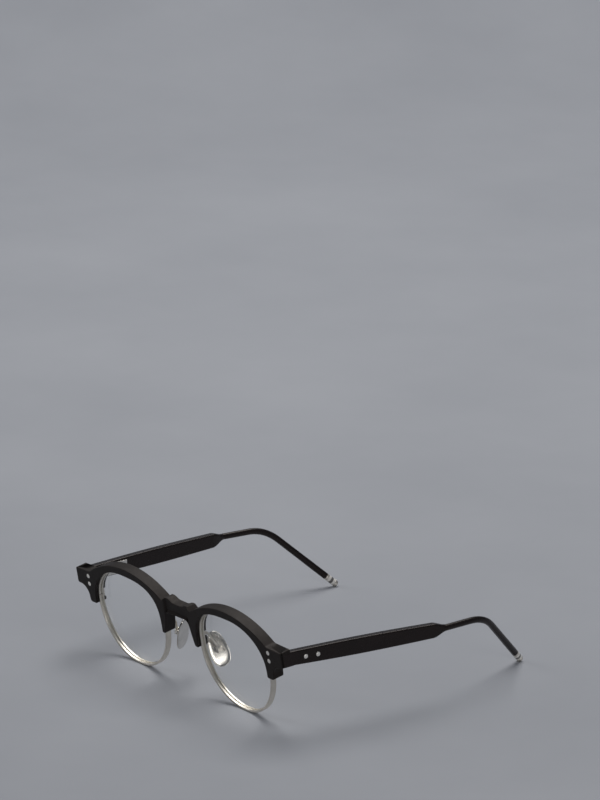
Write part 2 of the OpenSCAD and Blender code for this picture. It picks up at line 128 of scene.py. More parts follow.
# How finely round things are made, and the angle above which an edge stays sharp
ROUND_SIDES = 40
SMALL_STEPS = 3
SHARP_ANGLE = math.radians(32)

# ---------- placing, worked out from the frame ----------

hinge_pos = Vector(JOINT["temple_left_fold"]["pos_m"]) / MM
MID_Y = HINGE_Y - hinge_pos.y
LEAN = (Matrix.Translation((0, -MID_Y, -RIM_FRONT * math.sin(FRONT_TILT)))
        @ Matrix.Rotation(FRONT_TILT, 4, "X"))
PAD = (LEAN @ Matrix.Translation(PAD_AT) @ Matrix.Rotation(-PAD_SLANT, 4, "Y")
       @ Matrix.Rotation(-PAD_SPLAY, 4, "Z"))
HINGE = Matrix.Translation((hinge_pos.x, hinge_pos.y, 0))
TEMPLE = (Matrix.Translation((FRONT_HALF, -MID_Y, TEMPLE_Z)) @ Matrix.Rotation(-SPLAY, 4, "Z")
          @ Matrix.Rotation(-SLOPE, 4, "X"))
END_DIR = Vector(MOUNT["tip_pin_left"]["axis"]).normalized()
PIN_HALF = MOUNT["tip_pin_left"]["dims"]["length_mm"] / 2
TIP_END = Vector(MOUNT["tip_pin_left"]["pos_m"]) / MM + (PIN_HALF + CAP_EDGE) * END_DIR
ROD_END = TIP_END - STACK_LEN * END_DIR


def at_tip(back):
    """From a drawing along +z to the end of the rod, back millimetres before the very tip."""
    turn = END_DIR.to_track_quat("Z", "Y").to_matrix().to_4x4()
    return Matrix.Translation(TIP_END - back * END_DIR) @ turn


# ---------- small geometry helpers ----------

def arc(x, z, r, start, end, steps):
    """Points of an arc between two angles in degrees, both ends included."""
    angles = [math.radians(start + (end - start) * i / steps) for i in range(steps + 1)]
    return [Vector((x + r * math.cos(a), z + r * math.sin(a))) for a in angles]


def signed_power(value, power):
    return math.copysign(abs(value) ** power, value)


def eye_point(angle, inset):
    """A point of the eye outline, moved inwards by inset."""
    c, s = math.cos(angle), math.sin(angle)
    wide = (EYE_NASAL if c < 0 else EYE_TEMPORAL) - inset
    high = (EYE_DOWN if s < 0 else EYE_UP) - inset
    n = ROUND_LOW if s < 0 else (ROUND_NASAL if c < 0 else ROUND_TEMPORAL)
    return Vector((EYE_X + wide * signed_power(c, 2 / n), EYE_DOWN + high * signed_power(s, 2 / n)))


def lengths(points):
    """Distance along a polyline to each of its points."""
    out = [0.0]
    for a, b in zip(points, points[1:]):
        out.append(out[-1] + (b - a).length)
    return out


def resample(points, count):
    """Points at even steps along a polyline: count of them, both ends included."""
    along = lengths(points)
    out, k = [], 0
    for i in range(count):
        d = along[-1] * i / (count - 1)
        while k < len(along) - 2 and along[k + 1] < d:
            k += 1
        span = along[k + 1] - along[k]
        out.append(points[k].lerp(points[k + 1], min(1.0, (d - along[k]) / span)))
    return out


def inwards(points, shift):
    """A clockwise outline moved inwards by shift, with mitred corners."""
    out = []
    for i, p in enumerate(points):
        a = (p - points[i - 1]).normalized()
        b = (points[(i + 1) % len(points)] - p).normalized()
        na, nb = Vector((a.y, -a.x)), Vector((b.y, -b.x))
        out.append(p + shift * (na + nb) / max(0.4, 1 + na.dot(nb)))
    return out


def cut_back(points, reach):
    """An open polyline without its first stretch of that length."""
    along = lengths(points)
    k = next(i for i in range(1, len(along)) if along[i] > reach)
    t = (reach - along[k - 1]) / (along[k] - along[k - 1])
    return [points[k - 1].lerp(points[k], t)] + points[k:]


def corner_curve(start, corner, end, steps):
    """Points between start and end, bending towards the corner, without the two ends."""
    handles = [start, start.lerp(corner, 0.55), end.lerp(corner, 0.55), end]
    return [bezier(handles, i / steps) for i in range(1, steps)]


def bezier(p, t):
    return ((1 - t) ** 3 * p[0] + 3 * t * (1 - t) ** 2 * p[1] + 3 * t * t * (1 - t) * p[2]
            + t ** 3 * p[3])


class Shape:
    """Vertices in millimetres and faces, gathered before they become one mesh."""

    def __init__(self):
        self.verts = []
        self.faces = []

    def ring(self, points):
        start = len(self.verts)
        self.verts += [Vector(p) for p in points]
        return list(range(start, len(self.verts)))

    def band(self, a, b):
        n = len(a)
        for i in range(n):
            j = (i + 1) % n
            self.faces.append((a[i], a[j], b[j], b[i]))

    def loft(self, rings):
        made = [self.ring(r) for r in rings]
        for a, b in zip(made, made[1:]):
            self.band(a, b)
        return made

    def cap(self, ring, flip=False):
        self.faces.append(tuple(reversed(ring)) if flip else tuple(ring))

    def solid(self, rings):
        """A closed skin: rings joined one to the next, with a flat face at both ends."""
        made = self.loft(rings)
        self.cap(made[0], flip=True)
        self.cap(made[-1])

    def hoop(self, rings):
        """A closed skin whose last ring joins its first."""
        made = self.loft(rings)
        self.band(made[-1], made[0])

    def move(self, matrix):
        self.verts = [matrix @ v for v in self.verts]
        return self

    def add(self, other):
        shift = len(self.verts)
        self.verts += other.verts
        self.faces += [tuple(i + shift for i in f) for f in other.faces]
        return self


def circle(r, z, segments):
    step = 2 * math.pi / segments
    return [Vector((r * math.cos((i + 0.5) * step), r * math.sin((i + 0.5) * step), z))
            for i in range(segments)]


def lathe(profile, segments=ROUND_SIDES):
    """A solid of revolution about z, from (radius, height) pairs that go up the outside."""
    shape = Shape()
    shape.solid([circle(r, z, segments) for r, z in profile])
    return shape


def edged(r, low, high, edge):
    """Profile of a cylinder with rounded edges."""
    turn = [math.pi / 2 * i / SMALL_STEPS for i in range(SMALL_STEPS + 1)]
    bottom = [(r - edge + edge * math.sin(a), low + edge - edge * math.cos(a)) for a in turn]
    top = [(r - edge + edge * math.cos(a), high - edge + edge * math.sin(a)) for a in turn]
    return bottom + top


def block(size, edge, centre):
    """A box with rounded edges."""
    bm = bmesh.new()
    bmesh.ops.create_cube(bm, size=1, matrix=Matrix.Translation(centre) @ Matrix.Diagonal((*size, 1)))
    bmesh.ops.bevel(bm, geom=bm.edges[:], offset=edge, segments=2, profile=0.5, affect="EDGES",
                    clamp_overlap=True)
    bm.verts.ensure_lookup_table()
    shape = Shape()
    shape.verts = [v.co.copy() for v in bm.verts]
    shape.faces = [tuple(v.index for v in f.verts) for f in bm.faces]
    bm.free()
    return shape


def tube(path, radius, sides=20):
    """A round tube along a path of vectors."""
    rings = []
    u = None
    for i, p in enumerate(path):
        t = (path[min(i + 1, len(path) - 1)] - path[max(i - 1, 0)]).normalized()
        # The section's frame is carried along the path, so that it never twists
        u = t.orthogonal() if u is None else u - u.dot(t) * t
        u.normalize()
        v = u.cross(t)
        rings.append([p + radius * (math.cos(a) * u - math.sin(a) * v)
                      for a in (2 * math.pi * k / sides for k in range(sides))])
    shape = Shape()
    shape.solid(rings)
    return shape


def even_normals(obj):
    """Flat faces beside rounded edges shade flat."""
    even = obj.modifiers.new("even_normals", "WEIGHTED_NORMAL")
    even.keep_sharp = True


def piece(name, shape, body, material, stands_for, mirrored=False):
    """Makes the object for a shape, and gives it its body and its material."""
    mesh = bpy.data.meshes.new(name)
    flip = -1 if mirrored else 1
    verts = [(flip * v.x * MM, v.y * MM, v.z * MM) for v in shape.verts]
    faces = [tuple(reversed(f)) for f in shape.faces] if mirrored else shape.faces
    mesh.from_pydata(verts, [], faces)
    bm = bmesh.new()
    bm.from_mesh(mesh)
    bmesh.ops.remove_doubles(bm, verts=bm.verts, dist=0.5e-6)
    bmesh.ops.recalc_face_normals(bm, faces=bm.faces)
    bm.to_mesh(mesh)
    bm.free()
    mesh.shade_smooth()
    mesh.set_sharp_from_angle(angle=SHARP_ANGLE)
    obj = bpy.data.objects.new(name, mesh)
    bpy.context.scene.collection.objects.link(obj)
    obj.data.materials.append(material)
    even_normals(obj)
    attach(obj, body)
    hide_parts(*stands_for)
    return obj


def pair(name, shape, body, material):
    """The left piece and its mirror image, each standing for the CAD node of the same name."""
    for side in ("left", "right"):
        on = body.replace("SIDE", side)
        piece(f"{name}_{side}_look", shape, on, material, [f"{name}_{side}"],
              mirrored=side == "right")


# ---------- materials ----------

def new_material(name):
    mat = bpy.data.materials.new(name)
    mat.use_nodes = True
    nodes = mat.node_tree.nodes
    return mat, mat.node_tree, nodes["Principled BSDF"]


def noise(tree, scale, detail, rough, stretch=None):
    """A noise texture in object coordinates, in metres, stretched along an axis if asked."""
    coords = tree.nodes.new("ShaderNodeTexCoord")
    tex = tree.nodes.new("ShaderNodeTexNoise")
    tex.inputs["Scale"].default_value = scale
    tex.inputs["Detail"].default_value = detail
    tex.inputs["Roughness"].default_value = rough
    if stretch:
        mapping = tree.nodes.new("ShaderNodeMapping")
        mapping.inputs["Scale"].default_value = stretch
        tree.links.new(coords.outputs["Object"], mapping.inputs["Vector"])
        tree.links.new(mapping.outputs["Vector"], tex.inputs["Vector"])
    else:
        tree.links.new(coords.outputs["Object"], tex.inputs["Vector"])
    return tex.outputs["Fac"]


def ramp(tree, fac, stops):
    """A colour ramp from (position, colour) stops."""
    node = tree.nodes.new("ShaderNodeValToRGB")
    elements = node.color_ramp.elements
    elements[0].position, elements[0].color = stops[0][0], (*stops[0][1], 1)
    elements[1].position, elements[1].color = stops[-1][0], (*stops[-1][1], 1)
    for position, colour in stops[1:-1]:
        elements.new(position).color = (*colour, 1)
    tree.links.new(fac, node.inputs["Fac"])
    return node.outputs["Color"]


def spread(tree, fac, low, high):
    """A factor from 0.3 to 0.7 remapped to a range of values."""
    node = tree.nodes.new("ShaderNodeMapRange")
    node.inputs["From Min"].default_value = 0.3
    node.inputs["From Max"].default_value = 0.7
    node.inputs["To Min"].default_value = low
    node.inputs["To Max"].default_value = high
    tree.links.new(fac, node.inputs["Value"])
    return node.outputs["Result"]


def bump(tree, shader, height, distance):
    node = tree.nodes.new("ShaderNodeBump")
    node.inputs["Distance"].default_value = distance
    node.inputs["Strength"].default_value = 1.0
    tree.links.new(height, node.inputs["Height"])
    tree.links.new(node.outputs["Normal"], shader.inputs["Normal"])


def acetate(name, dark, light, rough, grain, shine=0.5):
    """Dark acetate: faint clouding in the colour, a fine polish grain and uneven roughness."""
    mat, tree, shader = new_material(name)
    between = tuple((a + b) / 2 for a, b in zip(dark, light))
    colour = ramp(tree, noise(tree, 90, 5, 0.55), [(0.35, dark), (0.5, between), (0.68, light)])
    tree.links.new(colour, shader.inputs["Base Color"])
    tree.links.new(spread(tree, noise(tree, 700, 6, 0.7), *rough), shader.inputs["Roughness"])
    shader.inputs["IOR"].default_value = 1.5
    shader.inputs["Specular IOR Level"].default_value = shine
    shader.inputs["Specular Tint"].default_value = (1, 0.9, 0.86, 1)
    bump(tree, shader, noise(tree, 5200, 3, 0.6), grain)
    return mat


def metal(name, colour, tint, rough, grain, stretch=(1, 1, 1)):
    """Metal with fine brushing along one axis and a slight tint in patches."""
    mat, tree, shader = new_material(name)
    shader.inputs["Metallic"].default_value = 1
    patch = noise(tree, 260, 4, 0.6)
    tree.links.new(ramp(tree, patch, [(0.3, tint), (0.7, colour)]), shader.inputs["Base Color"])
    brush = noise(tree, 2600, 4, 0.7, stretch)
    tree.links.new(spread(tree, brush, *rough), shader.inputs["Roughness"])
    bump(tree, shader, brush, grain)
    return mat


def glass(name):
    """Clear lens glass. Lamps shine through it onto the floor once, as through a real lens."""
    mat, tree, shader = new_material(name)
    shader.inputs["Transmission Weight"].default_value = 1
    # A weak lens bends the view very little, so its index is low, and a clear coat reflects instead
    shader.inputs["IOR"].default_value = 1.01
    shader.inputs["Roughness"].default_value = 0
    shader.inputs["Coat Weight"].default_value = 0.6
    shader.inputs["Coat IOR"].default_value = 1.5
    shader.inputs["Coat Roughness"].default_value = 0.02
    tint = ramp(tree, noise(tree, 40, 2, 0.5),
                [(0.3, (0.975, 0.985, 0.99)), (0.7, (0.985, 0.99, 0.985))])
    tree.links.new(tint, shader.inputs["Base Color"])
    clear = tree.nodes.new("ShaderNodeBsdfTransparent")
    mix = tree.nodes.new("ShaderNodeMixShader")
    path = tree.nodes.new("ShaderNodeLightPath")
    either = tree.nodes.new("ShaderNodeMath")
    either.operation = "MAXIMUM"
    tree.links.new(path.outputs["Is Shadow Ray"], either.inputs[0])
    tree.links.new(path.outputs["Is Diffuse Ray"], either.inputs[1])
    tree.links.new(either.outputs["Value"], mix.inputs["Fac"])
    tree.links.new(shader.outputs["BSDF"], mix.inputs[1])
    tree.links.new(clear.outputs["BSDF"], mix.inputs[2])
    tree.links.new(mix.outputs["Shader"], tree.nodes["Material Output"].inputs["Surface"])
    return mat


ACETATE_FRONT = acetate("acetate_front", (0.0045, 0.0031, 0.0024), (0.0078, 0.0056, 0.0045),
                        rough=(0.54, 0.64), grain=2e-6, shine=0.33)
ACETATE_TEMPLE = acetate("acetate_temple", (0.0042, 0.0021, 0.0019), (0.0076, 0.004, 0.0036),
                         rough=(0.24, 0.32), grain=3e-7, shine=0.36)
RIM_METAL = metal("rim_metal", (0.78, 0.735, 0.66), (0.66, 0.62, 0.55),
                  rough=(0.32, 0.44), grain=4e-7)
PAD_METAL = metal("pad_metal", (0.74, 0.72, 0.685), (0.6, 0.585, 0.555),
                  rough=(0.08, 0.15), grain=3e-7, stretch=(1, 1, 0.15))
RIVET_METAL = metal("rivet_metal", (0.95, 0.92, 0.86), (0.88, 0.85, 0.79),
                    rough=(0.32, 0.42), grain=3e-7)
HINGE_METAL = metal("hinge_metal", (0.78, 0.76, 0.72), (0.66, 0.64, 0.6),
                    rough=(0.24, 0.36), grain=5e-7, stretch=(1, 0.1, 1))
SCREW_METAL = metal("screw_metal", (0.74, 0.73, 0.7), (0.62, 0.61, 0.58),
                    rough=(0.2, 0.34), grain=4e-7)
CORE_METAL = metal("core_metal", (0.6, 0.59, 0.57), (0.5, 0.49, 0.47),
                   rough=(0.3, 0.4), grain=4e-7)
TIP_LIGHT = acetate("tip_light", (0.78, 0.75, 0.69), (0.84, 0.81, 0.76),
                    rough=(0.16, 0.24), grain=5e-7)
TIP_DARK = acetate("tip_dark", (0.12, 0.116, 0.112), (0.16, 0.155, 0.15),
                   rough=(0.18, 0.26), grain=5e-7)
LENS_GLASS = glass("lens_glass")

# ---------- brow front ----------

BROW_EDGE = 0.3
EDGE_STEPS = 4
EYE_COUNT = 130
HOLLOW_IN = 7.4
HOLLOW_OUT = 8.7
HOLLOW_OUT_Z = 39.86
HOLLOW_LOW = 31.0
HOLLOW_LOW_X = 8.3
LEDGE = 0.75
SHOULDER_X = 2.4
SHOULDER_RUN = 4.4
SHOULDER_STEPS = 12
END_CORNER_R = 0.6
END_FOOT_R = 0.9
LOBE_SWEEP_R = 5.1
LOBE_OUT_R = 1.3
LOBE_IN_R = 1.2
NOSE_X = 5.8
NOSE_R = 2.2
# The cutters' sizes and middles; the mitre's reach past both ends of the mitred face
CUTTER_EDGE = 0.1
NOTCH_SIZE = (2, 3, 2.6)
NOTCH_AT = (12.1, RIM_BACK + 1.5, 28.1)
POCKET_SIZE = (4.8, 4, 4.4)
POCKET_AT = (60.4, BROW_DEPTH - 0.4, 26.8)
MITRE_REACH = (-2, 1.5)
MITRE_BEHIND = 20
MITRE_HEIGHTS = (20, 45)
# How far the lobes' lower corners are rounded back along the eye, outside and inside
LOBE_OUT_CUT = 0.85
LOBE_IN_CUT = 0.55


def brow_top_line():
    """Upper edge of the left half: bridge, shoulder, arch, end piece and outer lobe."""
    arch_z = BROW_TOP - ARCH_R
    first = 90 + math.degrees(math.asin((ARCH_X - ARCH_IN) / ARCH_R))
    last = 90 - math.degrees(math.asin((ARCH_OUT - ARCH_X) / ARCH_R))
    crest = BRIDGE_TOP + BRIDGE_SHOULDER
    shoulder = []
    for i in range(SHOULDER_STEPS + 1):
        rise = (1 - math.cos(math.pi * i / SHOULDER_STEPS)) / 2
        shoulder.append(Vector((SHOULDER_X + SHOULDER_RUN * i / SHOULDER_STEPS,
                                BRIDGE_TOP + BRIDGE_SHOULDER * rise)))
    return ([Vector((0, BRIDGE_TOP)), Vector((1.2, BRIDGE_TOP))] + shoulder
            + [Vector((HOLLOW_IN, crest)), Vector((7.9, crest)), Vector((HOLLOW_OUT, HOLLOW_OUT_Z))]
            + arc(ARCH_X, arch_z, ARCH_R, first, last, 70)
            + arc(62.6, 40.85, 3, 236, 270, 9)
            + arc(FRONT_HALF - END_CORNER_R, END_TOP - 0.5, END_CORNER_R, 85, 0, 8)
            + arc(FRONT_HALF - END_FOOT_R, END_BOTTOM + END_FOOT_R, END_FOOT_R, 0, -90, 8)
            + arc(69.4, END_BOTTOM - LOBE_SWEEP_R, LOBE_SWEEP_R, 90, 176, 16)
            + arc(62.9, LOBE_BOTTOM + LOBE_OUT_R, LOBE_OUT_R, 0, -90, 10))


def brow_nose_line():
    """Lower edge of the left half, from the inner lobe's bottom to the middle of the bridge."""
    return (arc(11.3, LOBE_BOTTOM + LOBE_IN_R, LOBE_IN_R, -90, -170, 10)
            + [Vector((9.6, 25.6)), Vector((8.9, 28.4)), Vector((HOLLOW_LOW_X, HOLLOW_LOW))]
            + arc(NOSE_X, BRIDGE_BOTTOM - NOSE_R, NOSE_R, 10, 90, 12)
            + [Vector((2.9, BRIDGE_BOTTOM)), Vector((0, BRIDGE_BOTTOM))])


def eye_line(inset):
    """The eye's edge between the two lobes, over the top, from the outer lobe to the inner."""
    low = ((EYE_DOWN - LOBE_BOTTOM) / (EYE_DOWN - inset)) ** (ROUND_LOW / 2)
    start = math.asin(low)
    steps = 220
    turn = (math.pi + 2 * start) / steps
    return [eye_point(-start + turn * i, inset) for i in range(steps + 1)]


def brow_half(inset):
    """The left half's outline, clockwise seen from the front, with both lobes' corners rounded."""
    top, nose = brow_top_line(), brow_nose_line()
    eye = eye_line(inset)
    first, last = eye[0], eye[-1]
    eye = cut_back(cut_back(eye, LOBE_OUT_CUT)[::-1], LOBE_IN_CUT)[::-1]
    before = Vector((first.x + LOBE_OUT_CUT, LOBE_BOTTOM))
    after = Vector((last.x - LOBE_IN_CUT, LOBE_BOTTOM))
    return (top + [before] + corner_curve(before, first, eye[0], 9) + resample(eye, EYE_COUNT)
            + corner_curve(eye[-1], last, after, 9) + [after] + nose)


def both_halves(half):
    return half + [Vector((-p.x, p.y)) for p in reversed(half[1:-1])]


def hollow_depth(p):
    """How far the bridge's upper edge lies behind the front face."""
    if p.y < BRIDGE_BOTTOM + 2:
        return 0.0
    across = (HOLLOW_OUT - abs(p.x)) / (HOLLOW_OUT - HOLLOW_IN)
    return BRIDGE_RECESS * min(1.0, max(0.0, across))


def brow_ring(depth, inset, shrink, hollowed):
    outline = both_halves(brow_half(inset))
    moved = inwards(outline, shrink)
    return [Vector((q.x, depth + (hollow_depth(p) if hollowed else 0), q.y))
            for p, q in zip(outline, moved)]


def quarter(edge, steps):
    """(shrink, depth) pairs of a rounded edge, from the flat face to the side."""
    turns = [math.pi / 2 * i / steps for i in range(steps + 1)]
    return [(edge * (1 - math.sin(t)), edge * (1 - math.cos(t))) for t in turns]


def brow_shape():
    edge = quarter(BROW_EDGE, EDGE_STEPS)
    rings = [brow_ring(depth, FRONT_LIP, shrink, True) for shrink, depth in edge]
    rings += [brow_ring(RIM_FRONT, FRONT_LIP, 0, False), brow_ring(RIM_FRONT, 0, 0, False),
              brow_ring(RIM_BACK, 0, 0, False), brow_ring(RIM_BACK, BACK_LIP, 0, False)]
    rings += [brow_ring(BROW_DEPTH - depth, BACK_LIP, shrink, False) for shrink, depth in edge[::-1]]
    shape = Shape()
    made = shape.loft(rings)
    shape.cap(made[-1])
    hollow_faces(shape, made[0])
    return shape


def hollow_faces(shape, ring):
    """The front face: two wings, and between them the bridge's hollow with its sloping border."""
    half = brow_half(FRONT_LIP)
    count, last = len(half), len(half) - 1

    def mirror(i):
        return (2 * last - i) % (2 * last)

    def find(x, z):
        return min(range(count), key=lambda i: (half[i] - Vector((x, z))).length)

    shoulder = BRIDGE_TOP + BRIDGE_SHOULDER
    inner, outer = find(HOLLOW_IN, shoulder), find(HOLLOW_OUT, HOLLOW_OUT_Z)
    low = find(HOLLOW_LOW_X, HOLLOW_LOW)
    first = low + 1
    floor = arc(NOSE_X, BRIDGE_BOTTOM - NOSE_R, NOSE_R + LEDGE, 56, 90, 12)
    floor += [Vector((2.9, BRIDGE_BOTTOM + LEDGE)), Vector((0, BRIDGE_BOTTOM + LEDGE))]
    left = shape.ring([(p.x, BRIDGE_RECESS, p.y) for p in floor])
    right = shape.ring([(-p.x, BRIDGE_RECESS, p.y) for p in floor[:-1]]) + [left[-1]]
    for side, crease in ((lambda i: i, left), (mirror, right)):
        shape.cap([ring[side(i)] for i in range(outer, low + 1)])
        shape.cap([ring[side(i)] for i in range(inner, outer + 1)]
                  + [ring[side(low)], ring[side(first)], crease[0]])
        for k in range(len(crease) - 1):
            shape.cap([ring[side(first + k)], ring[side(first + k + 1)], crease[k + 1], crease[k]])
    centre = [ring[mirror(i)] for i in range(inner, 0, -1)] + [ring[i] for i in range(inner + 1)]
    shape.cap(centre + left + right[-2::-1])


def notch_shapes():
    """Cutters for the brow: the nose pad wires' notches, the closing blocks' pockets, the mitres."""
    notch = block(NOTCH_SIZE, CUTTER_EDGE, NOTCH_AT)
    pocket = block(POCKET_SIZE, CUTTER_EDGE, POCKET_AT)
    start, end = (mitre_point(t) for t in MITRE_REACH)
    wedge = [start, end, Vector((end.x, MITRE_BEHIND)), Vector((start.x, MITRE_BEHIND))]
    mitre = Shape()
    mitre.solid([[Vector((p.x, p.y, z)) for p in wedge] for z in MITRE_HEIGHTS])
    return [notch, pocket, mitre]


def mitre_point(t):
    """A point in x and depth of the mitred end: 0 is the front corner, 1 the back of the brow."""
    return Vector((FRONT_HALF - t * TEMPLE_THICK, MITRE_LIP + t * (BROW_DEPTH - MITRE_LIP)))


def eye_frame_point(angle, inset, depth):
    p = eye_point(angle, inset)
    return Vector((p.x, depth, p.y))


# ---------- rims and lenses ----------

RIM_EDGE = 0.16
RIM_COUNT = 300
SLIT_ANGLE = math.radians(4.4)
SLIT_HALF = 0.005
LENS_GAP = 0.05
BEAD_GAP = 0.02


def rim_profile():
    """The band's section as (inset, depth) pairs, with rounded corners and a groove for the lens."""
    front, back = RIM_FRONT + RIM_EDGE, RIM_BACK - RIM_EDGE
    outside, inside = RIM_EDGE, RIM_THICK - RIM_EDGE
    groove_back = GROOVE_FROM + GROOVE_WIDE

    def corner(inset, depth, start):
        return [(p.x, p.y) for p in arc(inset, depth, RIM_EDGE, start, start - 90, SMALL_STEPS)]

    groove = [(RIM_THICK, groove_back), (RIM_THICK - GROOVE_DEPTH, groove_back),
              (RIM_THICK - GROOVE_DEPTH, GROOVE_FROM), (RIM_THICK, GROOVE_FROM)]
    return (corner(outside, front, -90) + corner(outside, back, 180) + corner(inside, back, 90)
            + groove + corner(inside, front, 0))


def rim_shape():
    profile = rim_profile()
    turn = (2 * math.pi - 2 * SLIT_HALF) / RIM_COUNT
    angles = [SLIT_ANGLE + SLIT_HALF + turn * i for i in range(RIM_COUNT + 1)]
    shape = Shape()
    shape.solid([[eye_frame_point(a, inset, depth) for inset, depth in profile] for a in angles])
    return shape


def lens_shape():
    """A curved pane whose edge steps down to a bead in the rim's groove."""
    inside = RIM_THICK + LENS_GAP
    bead = RIM_THICK - GROOVE_DEPTH + BEAD_GAP
    bead_front, bead_back = GROOVE_FROM + LENS_GAP, GROOVE_FROM + GROOVE_WIDE - LENS_GAP
    angles = [2 * math.pi * i / RIM_COUNT for i in range(RIM_COUNT)]
    middle = Vector((EYE_X, EYE_DOWN))

    def curved(share, behind):
        radius = LENS_RADIUS - behind
        ring = []
        for a in angles:
            p = middle.lerp(eye_point(a, inside), share)
            far = (p - middle).length
            depth = LENS_VERTEX + LENS_RADIUS - math.sqrt(radius ** 2 - far ** 2)
            ring.append(Vector((p.x, depth, p.y)))
        return ring

    shares = [0.02] + [i / 12 for i in range(1, 13)]
    flat = [(inside, bead_front), (bead, bead_front), (bead, bead_back), (inside, bead_back)]
    rings = [curved(s, 0) for s in shares]
    rings += [[eye_frame_point(a, inset, depth) for a in angles] for inset, depth in flat]
    rings += [curved(s, LENS_THICK) for s in shares[::-1]]
    shape = Shape()
    shape.solid(rings)
    return shape


# ---------- nose pads and their wires ----------

PAD_SIDES = 72
# The outline's roundness across and along, and how much its foot widens to the rear and the front
PAD_ROUND_Y = 0.82
PAD_ROUND_Z = 0.86
PAD_FOOT_REAR = 0.42
PAD_FOOT_FRONT = 0.16
ARM_R = 0.55
ARM_STEPS = 48
PAD_SCREW_R = 0.4
LUG_THICK = 1.0
BOX_INNER = 0.65
BOX_OUTER = 1.15


def pad_ring(inset, x):
    """The pad's outline: a little narrower at its top, and fuller at the rear of its foot."""
    ring = []
    for i in range(PAD_SIDES):
        a = 2 * math.pi * (i + 0.5) / PAD_SIDES
        y = (PAD_WIDE / 2 - inset) * signed_power(math.cos(a), PAD_ROUND_Y)
        z = (PAD_LEN / 2 - inset) * signed_power(math.sin(a), PAD_ROUND_Z)
        low = -z / PAD_LEN
        y *= 1 + (PAD_FOOT_REAR if y > 0 else PAD_FOOT_FRONT) * low
        ring.append(Vector((x, y, z)))
    return ring


def pad_shape():
    """A dished metal plate: crowned towards the nose, with a raised border on its other face."""
    h = PAD_THICK / 2
    profile = [(4.0, -h), (3.0, -h), (2.0, -h + 0.02), (1.2, -h + 0.07), (0.7, -h + 0.15),
               (0.35, -h + 0.26), (0.12, -h + 0.42), (0, -h + 0.62), (0.04, h - 0.16), (0.12, h - 0.04),
               (0.24, h), (0.44, h), (0.54, h - 0.05), (0.6, h - 0.2), (0.66, h - 0.4),
               (0.8, h - 0.52), (1.2, h - 0.56), (2.0, h - 0.58), (3.0, h - 0.6), (4.0, h - 0.6)]
    shape = Shape()
    shape.solid([pad_ring(inset, x) for inset, x in profile])
    return shape


def bushing(r_in, r_out, low, high, edge=0.08):
    """A round collar about z with a true bore."""
    outside = edged(r_out, low, high, edge)
    shape = Shape()
    profile = [(r_in, low)] + outside + [(r_in, high)]
    shape.hoop([circle(r, z, ROUND_SIDES) for r, z in profile])
    return shape


def pad_lug():
    """The pad's eye on its screw, and the round seat that joins it to the plate."""
    sideways = Matrix.Translation((PIVOT_X, 0, 0)) @ Matrix.Rotation(math.radians(90), 4, "X")
    lug = block((1.7, LUG_THICK, 1.3), 0.1, (0.85, 0, 0))
    lug.add(bushing(PAD_SCREW_R + 0.05, 0.75, -LUG_THICK / 2, LUG_THICK / 2).move(sideways))
    outwards = Matrix.Translation((0.05, 0, 0)) @ Matrix.Rotation(math.radians(90), 4, "Y")
    return lug.add(lathe(edged(1.75, 0, 0.42, 0.12)).move(outwards))


def extrude(outline, low, high, edge):
    """A clockwise outline in x and z, given thickness along y, with rounded edges."""
    turned = quarter(edge, SMALL_STEPS)
    front = [(shrink, low + depth) for shrink, depth in turned]
    back = [(shrink, high - depth) for shrink, depth in turned[::-1]]
    shape = Shape()
    shape.solid([[Vector((q.x, depth, q.y)) for q in inwards(outline, shrink)]
                 for shrink, depth in front + back])
    return shape


def pad_box():
    """The wire's end: two cheeks on a back plate, which hold the pad's lug on its screw."""
    upper = [Vector((1.05, 0.7)), Vector((1.5, 1.25)), Vector((3.3, 1.25)), Vector((3.8, 0.9))]
    lower = [Vector((p.x, -p.y)) for p in reversed(upper)]
    cheek = lower[-1:] + upper + lower[:-1]
    shape = extrude(cheek, BOX_INNER, BOX_OUTER, 0.12)
    shape.add(extrude(cheek, -BOX_OUTER, -BOX_INNER, 0.12))
    shape.add(block((0.6, 1.5, 2.2), 0.1, (3.5, 0, 0)))
    return shape.move(PAD)


def pad_arm_shape():
    """The wire from the rim's back to the pad's box, with its foot on the rim."""
    root = Vector((12.3, RIM_BACK - 0.35, 28.6))
    cup_back = LEAN.inverted() @ PAD @ Vector((3.6, 0, 0.6))
    route = [root, root + Vector((-0.6, 3.8, -0.6)), Vector((12.4, 7.6, 22.6)), cup_back]
    wire = tube([bezier(route, i / ARM_STEPS) for i in range(ARM_STEPS + 1)], ARM_R)
    foot = block((1.0, 0.9, 2.0), 0.25, (12.65, RIM_BACK + 0.1, 28.3))
    return wire.add(foot).move(LEAN).add(pad_box())


def screw_head(r, low, height):
    """A low round head about z, with a driver slot across it: two halves on a thinner disc."""
    disc = lathe([(0.8 * r, low), (r, low + 0.08), (r, low + 0.5 * height)])
    for turned in (0, math.pi):
        angles = [math.radians(14 + 152 * i / 18) for i in range(19)]
        outline = [Vector((r * math.cos(a), r * math.sin(a))) for a in reversed(angles)]
        half = Shape()
        lifts = [(0, 0.45 * height), (0, 0.75 * height), (0.05, 0.93 * height), (0.12, height)]
        half.solid([[Vector((q.x, q.y, low + z)) for q in inwards(outline, shrink)]
                    for shrink, z in lifts])
        disc.add(half.move(Matrix.Rotation(turned, 4, "Z")))
    return disc


def pad_screw_shape():
    sideways = PAD @ Matrix.Translation((PIVOT_X, 0, 0)) @ Matrix.Rotation(math.radians(90), 4, "X")
    shank = lathe(edged(PAD_SCREW_R, -BOX_OUTER - 0.02, BOX_OUTER, 0.05), 24)
    return shank.add(screw_head(0.7, BOX_OUTER, 0.35)).move(sideways)


# ---------- hinges, screws and rivets ----------

